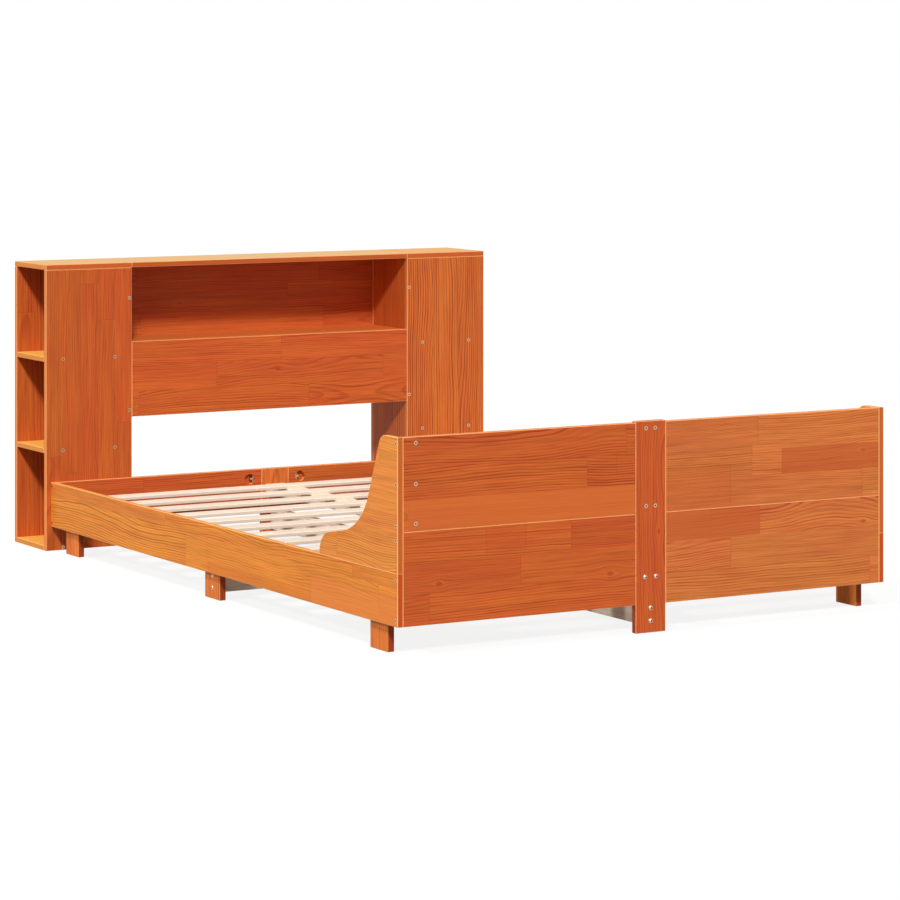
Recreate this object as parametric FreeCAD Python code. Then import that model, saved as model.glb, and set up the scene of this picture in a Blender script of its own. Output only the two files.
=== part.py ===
import math
import os

import FreeCAD
import Part

# All lengths are millimetres. Width runs along X, length along Y with the
# headboard at +Y, height along Z. The origin is on the floor under the centre
# of the whole bed.

# Mattress and the well it lies in
mattress_width = 1400.0
mattress_length = 2000.0
mattress_side_gap = 1.0
mattress_end_gap = 7.5
mattress_recess = 37.0

# Timber sections
board_thickness = 15.0
plank_thickness = 18.0
back_panel_thickness = 6.0
batten_width = 60.0
batten_thickness = 28.0
upright_width = 88.0
arris_radius = 2.0
slat_arris_radius = 1.5

# Side rails, footboard and legs
rail_floor_gap = 70.0
rail_height = 128.0
footboard_height = 450.0
post_rise = 3.0
leg_end_inset = 74.0
leg_thickness = 18.0
beam_floor_gap = 17.0
foot_batten_width = 150.0
batten_end_inset = 10.0
batten_rail_gap = 5.0

# Curved wings on the side rails at the foot
wing_length = 396.0
wing_top_length = 84.0
wing_hollow_length = 179.0
wing_hollow_height = 88.0
wing_toe_height = 51.0
wing_top_round_share = 0.24
wing_hollow_round_share = 0.43
wing_toe_round_share = 0.95

# Slats
slat_count = 13
slat_width = 60.0
slat_thickness = 9.0
slat_end_play = 2.0
slat_end_margin = 78.0

# Headboard
headboard_height = 823.0
headboard_depth = 230.0
headboard_overhang = 15.0
column_width = 271.0
lower_shelf_height = 280.0
upper_shelf_drop = 34.0
niche_height = 216.0
headboard_plank_height = 219.0

# Countersunk screws: thin ones for hidden places, thick ones that show
screw_radius = 2.0
screw_head_radius = 4.2
screw_head_depth = 2.6
screw_socket_radius = 1.9
screw_socket_depth = 1.6
screw_hole_clearance = 0.3
show_screw_radius = 3.0
show_screw_head_radius = 5.1
show_screw_head_depth = 3.0
show_screw_socket_radius = 2.0
show_screw_socket_depth = 2.2
long_screw_length = 40.0
screw_tip_cover = 3.0
slat_screw_bite_share = 0.7
back_panel_screw_bite = 20.0

# Domed bolts, barrel nuts, hexagon nuts and saddle washers
bolt_radius = 3.0
bolt_length = 60.0
bolt_head_radius = 6.5
bolt_crown_radius = 2.8
bolt_head_height = 3.2
bolt_socket_radius = 2.2
bolt_socket_depth = 2.0
bolt_hole_clearance = 0.3
bolt_tip_play = 2.0
bolt_spacing = 32.0
beam_bolt_drop = 2.0
barrel_nut_radius = 5.0
barrel_nut_length = 20.0
barrel_nut_setback = 8.0
hex_nut_radius = 5.8
hex_nut_thickness = 5.0
hex_nut_bolt_end = 1.0
hex_sides = 6
access_hole_radius = 16.0
access_hole_drop = 29.0
access_hole_end_distance = 40.0
access_hole_play = 0.3
saddle_washer_width = 11.0
saddle_washer_height = 22.0
saddle_washer_thickness = 6.0
rail_bolt_head_radius = 5.0
rail_bolt_head_height = 6.0
rail_bolt_socket_depth = 3.5
rail_bolt_bite = 20.0

# Dowels
dowel_radius = 4.0
dowel_length = 30.0
dowel_end_play = 1.0
dowel_top_share = 0.3

# Fastener positions
column_screw_inset = 54.0
side_screw_low = 72.0
side_screw_plank_rise = 20.0
side_screw_niche_share = 0.59
niche_screw_depth_shares = (0.25, 0.75)
back_panel_screw_shares = (0.1, 0.3667, 0.6333, 0.9)
corner_screw_inset = 11.0
foot_screw_bottom_inset = 15.0
foot_screw_rail_inset = 18.0
foot_screw_seam_drop = 20.0
foot_screw_seam_rise = 14.0
foot_screw_top_inset = 15.0
plank_screw_seam_rise = 18.0
plank_screw_top_inset = 15.0
plank_screw_end_inset = 35.0
post_screw_spacing = 27.0
leg_screw_spacing = 44.0
cleat_screw_step = 3
headboard_bolt_rise_share = 0.32
headboard_bolt_inset = 80.0
top_dowel_inset = 40.0
top_dowel_depth_shares = (0.25, 0.75)
plank_dowel_shares = (0.3, 0.75)
floor_dowel_shares = (0.15, 0.5, 0.85)
wing_dowel_shares = (0.25, 0.55, 0.85)
strut_dowel_spacing = 30.0
beam_dowel_shares = (0.25, 0.75)

# Planes across the width
half_well = mattress_width / 2 + mattress_side_gap
half_bed = half_well + board_thickness
half_headboard = half_bed + headboard_overhang
half_niche = half_headboard - column_width
half_post = upright_width / 2

# Planes along the length
bed_length = board_thickness + mattress_length + 2 * mattress_end_gap + plank_thickness
total_length = headboard_depth + bed_length + bolt_head_height
back_y = total_length / 2
head_y = back_y - headboard_depth
foot_y = head_y - bed_length
well_head_y = head_y - board_thickness
well_foot_y = foot_y + plank_thickness
column_front_y = head_y + board_thickness
column_back_y = back_y - board_thickness
niche_back_y = back_y - back_panel_thickness
access_floor_y = (head_y + well_head_y) / 2 + saddle_washer_width / 2 + access_hole_play
middle_y = (head_y + foot_y) / 2

# Levels above the floor
rail_top = rail_floor_gap + rail_height
footboard_top = rail_floor_gap + footboard_height
footboard_seam = rail_floor_gap + footboard_height / 2
slat_top = rail_top - mattress_recess
cleat_top = slat_top - slat_thickness
cleat_bottom = cleat_top - batten_thickness
beam_top = beam_floor_gap + batten_width
headboard_top_under = headboard_height - board_thickness
niche_floor_top = headboard_top_under - niche_height
niche_floor_under = niche_floor_top - board_thickness
headboard_plank_bottom = niche_floor_top - headboard_plank_height
upper_shelf_height = niche_floor_under - upper_shelf_drop

# Derived spacings
slat_run = mattress_length + 2 * mattress_end_gap - 2 * slat_end_margin - slat_width
slat_pitch = slat_run / (slat_count - 1)

SIDES = (("left", -1), ("right", 1))

blanks = {}
tools = {}
hardware = {}


def vec(x, y, z):
    return FreeCAD.Vector(x, y, z)


def slab(x_span, y_span, z_span, radius=arris_radius):
    """Board between three pairs of planes with its arrises eased."""
    x0, x1 = sorted(x_span)
    y0, y1 = sorted(y_span)
    z0, z1 = sorted(z_span)
    box = Part.makeBox(x1 - x0, y1 - y0, z1 - z0, vec(x0, y0, z0))
    return box.makeFillet(radius, box.Edges)


def turned(shape, point, direction):
    """Shape modelled along minus Z, moved to a point and aimed along a direction."""
    copy = shape.copy()
    copy.Placement = FreeCAD.Placement(point, FreeCAD.Rotation(vec(0, 0, -1), direction))
    return copy


def drill(node, tool):
    tools.setdefault(node, []).append(tool)


def fit(node, solid):
    hardware.setdefault(node, []).append(solid)


def rod(radius, length, point, direction):
    return Part.makeCylinder(radius, length, point, direction)


# Fasteners


def screw_sizes(group):
    """Shank radius, head radius, head depth, socket radius and socket depth of a group."""
    if group in ("headboard_screws", "bed_screws", "plank_screws"):
        return (show_screw_radius, show_screw_head_radius, show_screw_head_depth,
                show_screw_socket_radius, show_screw_socket_depth)
    return (screw_radius, screw_head_radius, screw_head_depth,
            screw_socket_radius, screw_socket_depth)


def add_screw(group, near, far, point, direction, near_depth, length):
    """Screw through the near board into the far one, its head flush with the near face."""
    radius, head_radius, head_depth, socket_radius, socket_depth = screw_sizes(group)
    sink = Part.makeCone(radius, head_radius, head_depth, vec(0, 0, -head_depth))
    shank = rod(radius, length - head_depth, vec(0, 0, -length), vec(0, 0, 1))
    socket = rod(socket_radius, socket_depth, vec(0, 0, 0), vec(0, 0, -1))
    screw = sink.fuse(shank).removeSplitter().cut(socket)
    fit(group, turned(screw, point, direction))
    drill(near, turned(sink, point, direction))
    drill(near, rod(radius + screw_hole_clearance, near_depth, point, direction))
    drill(far, rod(radius, length, point, direction))


def bolt_solid(length):
    spread = bolt_head_radius**2 - bolt_crown_radius**2
    dome_z = (bolt_head_height**2 - spread) / (2 * bolt_head_height)
    ball = Part.makeSphere(math.hypot(bolt_head_radius, dome_z), vec(0, 0, dome_z))
    head = ball.common(rod(bolt_head_radius, bolt_head_height, vec(0, 0, 0), vec(0, 0, 1)))
    shank = rod(bolt_radius, length, vec(0, 0, 0), vec(0, 0, -1))
    socket_base = vec(0, 0, bolt_head_height - bolt_socket_depth)
    socket = rod(bolt_socket_radius, bolt_socket_depth, socket_base, vec(0, 0, 1))
    return head.fuse(shank).cut(socket)


def add_barrel_bolt(near, far, point, direction, nut_axis, near_depth, nut_entry):
    """Domed bolt through a board into a barrel nut set across a beam's end."""
    fit("frame_bolts", turned(bolt_solid(bolt_length), point, direction))
    hole_radius = bolt_radius + bolt_hole_clearance
    drill(near, rod(hole_radius, near_depth, point, direction))
    drill(far, rod(hole_radius, bolt_length + bolt_tip_play, point, direction))
    centre = point + direction * (bolt_length - barrel_nut_setback)
    start = centre - nut_axis * (barrel_nut_length / 2)
    nut = rod(barrel_nut_radius, barrel_nut_length, start, nut_axis)
    thread_start = centre - direction * barrel_nut_radius
    thread = rod(bolt_radius, 2 * barrel_nut_radius, thread_start, direction)
    fit("barrel_nuts", nut.cut(thread))
    drill(far, rod(barrel_nut_radius, barrel_nut_length / 2 + nut_entry, centre - nut_axis * nut_entry, nut_axis))


def add_dowel(first, second, point, direction, first_share=0.5):
    """Dowel across a joint; the share is the part of its length in the first board."""
    first_depth = dowel_length * first_share
    second_depth = dowel_length - first_depth
    fit("dowels", rod(dowel_radius, dowel_length, point - direction * first_depth, direction))
    drill(first, rod(dowel_radius, first_depth + dowel_end_play, point, direction * -1))
    drill(second, rod(dowel_radius, second_depth + dowel_end_play, point, direction))


# Headboard


def column_boards(side, sign):
    """Bookcase column with three compartments open to the bed's side."""
    across = (sign * half_headboard, sign * half_niche)
    panel_x = sign * (half_niche + board_thickness)
    inside = (sign * half_headboard, panel_x)
    between = (column_front_y, column_back_y)
    upright = (0, headboard_top_under)
    blanks["column_front_" + side] = slab(across, (head_y, column_front_y), upright)
    blanks["column_back_" + side] = slab(across, (column_back_y, back_y), upright)
    blanks["column_side_" + side] = slab((panel_x, sign * half_niche), between, upright)
    blanks["column_top_" + side] = slab(
        across, (head_y, back_y), (headboard_top_under, headboard_height)
    )
    for name, level in column_levels():
        blanks[name + side] = slab(inside, between, (level, level + board_thickness))


def column_levels():
    return (
        ("column_bottom_", 0),
        ("column_shelf_lower_", lower_shelf_height),
        ("column_shelf_upper_", upper_shelf_height),
    )


def side_screw_levels():
    return (
        side_screw_low,
        headboard_plank_bottom + side_screw_plank_rise,
        niche_floor_top + niche_height * side_screw_niche_share,
    )


def column_joints(side, sign):
    faces = (
        ("column_front_" + side, head_y, vec(0, 1, 0)),
        ("column_back_" + side, back_y, vec(0, -1, 0)),
    )
    outer_x = sign * (half_headboard - column_screw_inset)
    inner_x = sign * (half_niche + column_screw_inset)
    for face, y, inward in faces:
        for name, level in column_levels():
            for x in (outer_x, inner_x):
                point = vec(x, y, level + board_thickness / 2)
                add_screw("headboard_screws", face, name + side, point, inward,
                          board_thickness, long_screw_length)
        for level in side_screw_levels():
            point = vec(sign * (half_niche + board_thickness / 2), y, level)
            add_screw("headboard_screws", face, "column_side_" + side, point, inward,
                      board_thickness, long_screw_length)
        dowel_y = y + inward.y * board_thickness / 2
        for x in (half_headboard - top_dowel_inset, half_niche + top_dowel_inset):
            point = vec(sign * x, dowel_y, headboard_top_under)
            add_dowel("column_top_" + side, face, point, vec(0, 0, -1), dowel_top_share)


def niche_boards():
    across = (-half_niche, half_niche)
    blanks["niche_top"] = slab(
        across, (head_y, back_y), (headboard_top_under, headboard_height)
    )
    blanks["niche_floor"] = slab(
        across, (column_front_y, niche_back_y), (niche_floor_under, niche_floor_top)
    )
    blanks["niche_back"] = slab(
        across, (niche_back_y, back_y), (niche_floor_under, headboard_top_under),
        slat_arris_radius,
    )
    blanks["headboard_plank"] = slab(
        across, (head_y, column_front_y), (headboard_plank_bottom, niche_floor_top)
    )


def niche_joints(side, sign):
    """Screws and dowels that tie the middle boards to one column."""
    floor_mid = niche_floor_top - board_thickness / 2
    depth = column_back_y - column_front_y
    for share in niche_screw_depth_shares:
        point = vec(sign * (half_niche + board_thickness), column_front_y + depth * share, floor_mid)
        add_screw("headboard_screws", "column_side_" + side, "niche_floor", point,
                  vec(-sign, 0, 0), board_thickness, long_screw_length)
    for share in top_dowel_depth_shares:
        point = vec(sign * half_niche, head_y + headboard_depth * share,
                    headboard_height - board_thickness / 2)
        add_dowel("niche_top", "column_top_" + side, point, vec(sign, 0, 0))
    for share in plank_dowel_shares:
        point = vec(sign * half_niche, head_y + board_thickness / 2,
                    headboard_plank_bottom + headboard_plank_height * share)
        add_dowel("headboard_plank", "column_front_" + side, point, vec(sign, 0, 0))


def niche_middle_joints():
    floor_mid = niche_floor_top - board_thickness / 2
    length = back_panel_thickness + back_panel_screw_bite
    for share in back_panel_screw_shares:
        point = vec(half_niche * (2 * share - 1), back_y, floor_mid)
        add_screw("back_panel_screws", "niche_back", "niche_floor", point,
                  vec(0, -1, 0), back_panel_thickness, length)
    for share in floor_dowel_shares:
        point = vec(half_niche * (2 * share - 1), column_front_y, floor_mid)
        add_dowel("headboard_plank", "niche_floor", point, vec(0, 1, 0), dowel_top_share)


# Bed sides


def rounded_corner(before, corner, after, tangent_length):
    """Start, middle and end of the arc that rounds a corner of an outline."""
    to_before = (before - corner).normalize()
    to_after = (after - corner).normalize()
    half_angle = to_before.getAngle(to_after) / 2
    start = corner + to_before * tangent_length
    end = corner + to_after * tangent_length
    radius = tangent_length * math.tan(half_angle)
    reach = tangent_length / math.cos(half_angle) - radius
    middle = corner + (to_before + to_after).normalize() * reach
    return start, middle, end


def wing_blank(sign):
    x = sign * half_well
    foot_bottom = vec(x, foot_y, rail_top)
    foot_top = vec(x, foot_y, footboard_top)
    top = vec(x, foot_y + wing_top_length, footboard_top)
    hollow = vec(x, foot_y + wing_hollow_length, rail_top + wing_hollow_height)
    toe = vec(x, foot_y + wing_length, rail_top + wing_toe_height)
    toe_bottom = vec(x, foot_y + wing_length, rail_top)
    hollow_run = (toe - hollow).Length
    arc_top = rounded_corner(foot_top, top, hollow, wing_top_length * wing_top_round_share)
    arc_hollow = rounded_corner(top, hollow, toe, hollow_run * wing_hollow_round_share)
    arc_toe = rounded_corner(hollow, toe, toe_bottom, wing_toe_height * wing_toe_round_share)
    edges = [
        Part.makeLine(foot_bottom, foot_top),
        Part.makeLine(foot_top, arc_top[0]),
        Part.Arc(*arc_top).toShape(),
        Part.makeLine(arc_top[2], arc_hollow[0]),
        Part.Arc(*arc_hollow).toShape(),
        Part.makeLine(arc_hollow[2], arc_toe[0]),
        Part.Arc(*arc_toe).toShape(),
        Part.makeLine(arc_toe[2], toe_bottom),
        Part.makeLine(toe_bottom, foot_bottom),
    ]
    face = Part.Face(Part.Wire(edges))
    solid = face.extrude(vec(sign * board_thickness, 0, 0))
    rims = [edge for edge in solid.Edges if edge.BoundBox.XLength < board_thickness / 2]
    return solid.makeFillet(arris_radius, rims)


def leg_positions():
    inset = leg_end_inset + upright_width / 2
    return (("head", head_y - inset), ("mid", middle_y), ("foot", foot_y + inset))


def side_boards(side, sign):
    """Side rail, wing, slat cleat and the three legs of one side."""
    thickness = (sign * half_well, sign * half_bed)
    blanks["side_rail_" + side] = slab(thickness, (foot_y, head_y), (rail_floor_gap, rail_top))
    blanks["foot_wing_" + side] = wing_blank(sign)
    blanks["slat_cleat_" + side] = slab(
        (sign * half_well, sign * (half_well - batten_thickness)),
        (well_foot_y, well_head_y),
        (cleat_bottom, cleat_top),
    )
    leg_x = (sign * half_well, sign * (half_well - leg_thickness))
    for place, y in leg_positions():
        span = (y - upright_width / 2, y + upright_width / 2)
        blanks["leg_" + place + "_" + side] = slab(leg_x, span, (0, cleat_bottom))


def side_joints(side, sign):
    rail = "side_rail_" + side
    wing = "foot_wing_" + side
    inward = vec(-sign, 0, 0)
    outward = vec(sign, 0, 0)
    head_mid = head_y - board_thickness / 2
    for z in (rail_floor_gap + corner_screw_inset, rail_top - corner_screw_inset):
        add_screw("bed_screws", rail, "head_rail_" + side, vec(sign * half_bed, head_mid, z),
                  inward, board_thickness, long_screw_length)
    foot_mid = foot_y + plank_thickness / 2
    lower = "foot_plank_lower_" + side
    upper = "foot_plank_upper_" + side
    spots = (
        (rail, lower, rail_floor_gap + foot_screw_bottom_inset),
        (rail, lower, rail_top - foot_screw_rail_inset),
        (wing, lower, footboard_seam - foot_screw_seam_drop),
        (wing, upper, footboard_seam + foot_screw_seam_rise),
        (wing, upper, (footboard_seam + footboard_top) / 2),
        (wing, upper, footboard_top - foot_screw_top_inset),
    )
    for near, far, z in spots:
        add_screw("bed_screws", near, far, vec(sign * half_bed, foot_mid, z),
                  inward, board_thickness, long_screw_length)
    leg_screw_length = leg_thickness + board_thickness - screw_tip_cover
    leg_screw_z = (rail_floor_gap + cleat_bottom) / 2
    for place, y in leg_positions():
        for offset in (-leg_screw_spacing / 2, leg_screw_spacing / 2):
            point = vec(sign * (half_well - leg_thickness), y + offset, leg_screw_z)
            add_screw("leg_screws", "leg_" + place + "_" + side, rail, point, outward,
                      leg_thickness, leg_screw_length)
    cleat = "slat_cleat_" + side
    cleat_mid = cleat_bottom + batten_thickness / 2
    for index in range(0, slat_count - 1, cleat_screw_step):
        y = slat_y(index) - slat_pitch / 2
        point = vec(sign * (half_well - batten_thickness), y, cleat_mid)
        add_screw("bed_screws", cleat, rail, point, outward, batten_thickness,
                  batten_thickness + board_thickness - screw_tip_cover)
    for share in wing_dowel_shares:
        point = vec(sign * (half_well + board_thickness / 2), foot_y + wing_length * share, rail_top)
        add_dowel(wing, rail, point, vec(0, 0, -1))


# Slats


def slat_y(index):
    return well_head_y - slat_end_margin - slat_width / 2 - slat_pitch * index


def slat_blanks():
    half_slat = half_well - slat_end_play
    boards = []
    for index in range(slat_count):
        y = slat_y(index)
        span = (y - slat_width / 2, y + slat_width / 2)
        boards.append(slab((-half_slat, half_slat), span, (cleat_top, slat_top), slat_arris_radius))
    return Part.makeCompound(boards)


def slat_joints():
    length = slat_thickness + batten_thickness * slat_screw_bite_share
    for index in range(slat_count):
        for side, sign in SIDES:
            point = vec(sign * (half_well - batten_thickness / 2), slat_y(index), slat_top)
            add_screw("slat_screws", "slats", "slat_cleat_" + side, point, vec(0, 0, -1),
                      slat_thickness, length)


# Head rail and headboard fixing


def head_boards():
    depth = (well_head_y, head_y)
    blanks["head_post"] = slab((-half_post, half_post), depth, (0, rail_top))
    for side, sign in SIDES:
        blanks["head_rail_" + side] = slab(
            (sign * half_post, sign * half_well), depth, (rail_floor_gap, rail_top)
        )


def saddle_washer(centre, sign, access):
    """Half-moon washer whose rounded back lies against the wall of the access hole."""
    wall = centre.x - sign * access_hole_radius
    low_x = min(wall, wall + sign * saddle_washer_thickness)
    corner = vec(low_x, centre.y - saddle_washer_width / 2, centre.z - saddle_washer_height / 2)
    blank = Part.makeBox(saddle_washer_thickness, saddle_washer_width, saddle_washer_height, corner)
    start = vec(wall, centre.y, centre.z)
    bore = rod(bolt_radius + bolt_hole_clearance, access_hole_radius, start, vec(sign, 0, 0))
    return blank.common(access).cut(bore)


def rail_bolt(centre, sign):
    """Bolt from the access hole through the rail's end into the head post's edge."""
    seat_x = centre.x - sign * (access_hole_radius - saddle_washer_thickness)
    seat = vec(seat_x, centre.y, centre.z)
    length = (
        access_hole_end_distance - access_hole_radius
        + saddle_washer_thickness + rail_bolt_bite
    )
    head = rod(rail_bolt_head_radius, rail_bolt_head_height, seat, vec(sign, 0, 0))
    shank = rod(bolt_radius, length, seat, vec(-sign, 0, 0))
    socket_start = seat + vec(sign * (rail_bolt_head_height - rail_bolt_socket_depth), 0, 0)
    socket = rod(bolt_socket_radius, rail_bolt_socket_depth, socket_start, vec(sign, 0, 0))
    return head.fuse(shank).cut(socket), length, seat


def head_rail_joints(side, sign):
    rail = "head_rail_" + side
    centre = vec(sign * (half_post + access_hole_end_distance), head_y - board_thickness / 2,
                 rail_top - access_hole_drop)
    access_start = vec(centre.x, well_head_y, centre.z)
    access = rod(access_hole_radius, access_floor_y - well_head_y, access_start, vec(0, 1, 0))
    drill(rail, access)
    bolt, length, seat = rail_bolt(centre, sign)
    fit("rail_bolts", bolt)
    fit("saddle_washers", saddle_washer(centre, sign, access))
    drill(rail, rod(bolt_radius + bolt_hole_clearance, length - rail_bolt_bite, seat, vec(-sign, 0, 0)))
    drill("head_post", rod(bolt_radius, length, seat, vec(-sign, 0, 0)))


def hex_nut(point):
    corners = []
    for index in range(hex_sides + 1):
        angle = 2 * math.pi * index / hex_sides
        offset = vec(hex_nut_radius * math.cos(angle), 0, hex_nut_radius * math.sin(angle))
        corners.append(point + offset)
    prism = Part.Face(Part.makePolygon(corners)).extrude(vec(0, hex_nut_thickness, 0))
    return prism.cut(rod(bolt_radius, hex_nut_thickness, point, vec(0, 1, 0)))


def headboard_fixing(side, sign):
    """Bolts that clamp the head rail to a column's front board."""
    length = 2 * board_thickness + hex_nut_thickness + hex_nut_bolt_end
    z = rail_floor_gap + rail_height * headboard_bolt_rise_share
    for x in (half_niche + headboard_bolt_inset, half_well - headboard_bolt_inset):
        point = vec(sign * x, well_head_y, z)
        fit("headboard_bolts", turned(bolt_solid(length), point, vec(0, 1, 0)))
        fit("headboard_nuts", hex_nut(vec(sign * x, column_front_y, z)))
        hole = rod(bolt_radius + bolt_hole_clearance, length, point, vec(0, 1, 0))
        drill("head_rail_" + side, hole)
        drill("column_front_" + side, hole)


# Footboard


def foot_boards():
    depth = (foot_y, well_foot_y)
    blanks["foot_post"] = slab((-half_post, half_post), depth, (0, footboard_top + post_rise))
    blanks["foot_batten"] = slab(
        (-foot_batten_width / 2, foot_batten_width / 2),
        (well_foot_y, well_foot_y + board_thickness),
        (slat_top, footboard_top - batten_end_inset),
    )
    for side, sign in SIDES:
        across = (sign * half_post, sign * half_well)
        blanks["foot_plank_lower_" + side] = slab(across, depth, (rail_floor_gap, footboard_seam))
        blanks["foot_plank_upper_" + side] = slab(across, depth, (footboard_seam, footboard_top))
        blanks["corner_batten_" + side] = slab(
            (sign * half_well, sign * (half_well - batten_width)),
            (well_foot_y, well_foot_y + board_thickness),
            (rail_top + batten_rail_gap, footboard_top - batten_end_inset),
        )


def foot_joints():
    """Screws that hold the planks and the post to the upright battens behind them."""
    length = plank_thickness + board_thickness - screw_tip_cover
    levels = (
        footboard_seam + plank_screw_seam_rise,
        (footboard_seam + footboard_top) / 2,
        footboard_top - plank_screw_top_inset,
    )
    corner_x = half_well - plank_screw_end_inset
    batten_y = well_foot_y + board_thickness
    for z in levels:
        add_screw("plank_screws", "foot_plank_upper_left", "corner_batten_left",
                  vec(-corner_x, foot_y, z), vec(0, 1, 0), plank_thickness, length)
        add_screw("plank_screws", "corner_batten_right", "foot_plank_upper_right",
                  vec(corner_x, batten_y, z), vec(0, -1, 0), board_thickness, length)
    for z in (levels[0], levels[-1]):
        for sign in (-1, 1):
            add_screw("plank_screws", "foot_post", "foot_batten",
                      vec(sign * post_screw_spacing / 2, foot_y, z), vec(0, 1, 0),
                      plank_thickness, length)
    lower_z = (rail_top + footboard_seam) / 2
    lap_x = (half_post + foot_batten_width / 2) / 2
    for side, sign in SIDES:
        add_screw("plank_screws", "corner_batten_" + side, "foot_plank_lower_" + side,
                  vec(sign * corner_x, batten_y, lower_z), vec(0, -1, 0), board_thickness, length)
        for plank, z in (("lower", lower_z), ("upper", levels[1])):
            add_screw("plank_screws", "foot_batten", "foot_plank_" + plank + "_" + side,
                      vec(sign * lap_x, batten_y, z), vec(0, -1, 0), board_thickness, length)


# Beams under the slats


def beam_boards():
    half_beam = batten_thickness / 2
    low = (beam_floor_gap, beam_top)
    leg_face = half_well - leg_thickness
    cross_span = (middle_y - half_beam, middle_y + half_beam)
    blanks["cross_beam"] = slab((-leg_face, leg_face), cross_span, low)
    blanks["floor_beam_head"] = slab((-half_beam, half_beam), (cross_span[1], well_head_y), low)
    blanks["floor_beam_foot"] = slab((-half_beam, half_beam), (well_foot_y, cross_span[0]), low)
    flat = (-batten_width / 2, batten_width / 2)
    blanks["slat_beam"] = slab(flat, (well_foot_y, well_head_y), (cleat_bottom, cleat_top))
    blanks["beam_strut"] = slab(flat, cross_span, (beam_top, cleat_bottom))


def beam_joints():
    bolt_mid = (beam_floor_gap + beam_top) / 2 - beam_bolt_drop
    slat_beam_mid = cleat_bottom + batten_thickness / 2
    half_beam = batten_thickness / 2
    ends = (
        ("foot_post", "floor_beam_foot", foot_y, vec(0, 1, 0), plank_thickness),
        ("head_post", "floor_beam_head", head_y, vec(0, -1, 0), board_thickness),
    )
    for post, beam, y, direction, depth in ends:
        for offset in (-bolt_spacing / 2, bolt_spacing / 2):
            add_barrel_bolt(post, beam, vec(0, y, bolt_mid + offset), direction,
                            vec(1, 0, 0), depth, half_beam)
            add_barrel_bolt(post, "slat_beam", vec(offset, y, slat_beam_mid), direction,
                            vec(0, 0, 1), depth, half_beam)
    for side, sign in SIDES:
        for offset in (-bolt_spacing / 2, bolt_spacing / 2):
            add_barrel_bolt("leg_mid_" + side, "cross_beam",
                            vec(sign * half_well, middle_y, bolt_mid + offset),
                            vec(-sign, 0, 0), vec(0, -1, 0), leg_thickness, half_beam)
    low_z = beam_floor_gap + batten_width * beam_dowel_shares[0]
    high_z = beam_floor_gap + batten_width * beam_dowel_shares[1]
    add_dowel("cross_beam", "floor_beam_foot", vec(0, middle_y - half_beam, low_z), vec(0, -1, 0))
    add_dowel("cross_beam", "floor_beam_head", vec(0, middle_y + half_beam, high_z), vec(0, 1, 0))
    for sign in (-1, 1):
        point = vec(sign * strut_dowel_spacing / 2, middle_y, beam_top)
        add_dowel("cross_beam", "beam_strut", point, vec(0, 0, 1))
    add_dowel("beam_strut", "slat_beam", vec(0, middle_y, cleat_bottom), vec(0, 0, 1))


# Assembly


def build():
    niche_boards()
    niche_middle_joints()
    head_boards()
    foot_boards()
    foot_joints()
    beam_boards()
    beam_joints()
    for side, sign in SIDES:
        column_boards(side, sign)
        column_joints(side, sign)
        niche_joints(side, sign)
        side_boards(side, sign)
        side_joints(side, sign)
        head_rail_joints(side, sign)
        headboard_fixing(side, sign)
    blanks["slats"] = slat_blanks()
    slat_joints()


def finished(node):
    blank = blanks[node]
    if node not in tools:
        return blank
    return blank.cut(tools[node])


def export():
    os.makedirs("parts", exist_ok=True)
    for node in blanks:
        finished(node).exportStep("parts/" + node + ".step")
    for node, solids in hardware.items():
        Part.makeCompound(solids).exportStep("parts/" + node + ".step")


build()
export()
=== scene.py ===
"""Finishes, light and viewpoint for the pine bed frame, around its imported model."""

import logging
import math
from dataclasses import dataclass, replace
from enum import Enum
from typing import Any

import bmesh
import bpy
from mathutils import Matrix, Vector


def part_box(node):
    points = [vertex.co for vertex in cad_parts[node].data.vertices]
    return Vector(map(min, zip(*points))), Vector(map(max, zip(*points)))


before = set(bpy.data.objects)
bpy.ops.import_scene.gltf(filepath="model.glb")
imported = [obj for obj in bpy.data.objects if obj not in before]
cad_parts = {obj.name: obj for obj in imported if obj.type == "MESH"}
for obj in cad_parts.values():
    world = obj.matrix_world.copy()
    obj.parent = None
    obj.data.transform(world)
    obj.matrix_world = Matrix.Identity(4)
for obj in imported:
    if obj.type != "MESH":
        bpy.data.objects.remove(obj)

log = logging.getLogger("bed_frame")

SIDES = ("left", "right")
MM_PER_METRE = 1000.0
MIX_FACTOR, MIX_A, MIX_B, MIX_RESULT = 0, 6, 7, 2  # sockets of a Mix node for colours
SRGB_LEVELS = 255
SRGB_TOE_END, SRGB_TOE_SLOPE = 0.04045, 12.92
SRGB_OFFSET, SRGB_GAMMA = 0.055, 2.4
WHITE = (1.0, 1.0, 1.0, 1.0)


class Axis(Enum):
    """Direction of a board's grain or of its width, as an index into a point."""

    X = 0
    Y = 1
    Z = 2


def linear(hex_colour: str) -> tuple[float, float, float, float]:
    """Turns an sRGB hex colour into the linear colour that a shader takes.

    Args:
        hex_colour: Six hex digits, with or without a hash in front.

    Returns:
        Red, green, blue and an alpha of 1, as linear values.
    """
    digits = hex_colour.lstrip("#")
    channels = []
    for start in range(0, len(digits), 2):
        value = int(digits[start:start + 2], 16) / SRGB_LEVELS
        if value <= SRGB_TOE_END:
            channels.append(value / SRGB_TOE_SLOPE)
        else:
            channels.append(((value + SRGB_OFFSET) / (1 + SRGB_OFFSET)) ** SRGB_GAMMA)
    return (*channels, 1.0)


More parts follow.
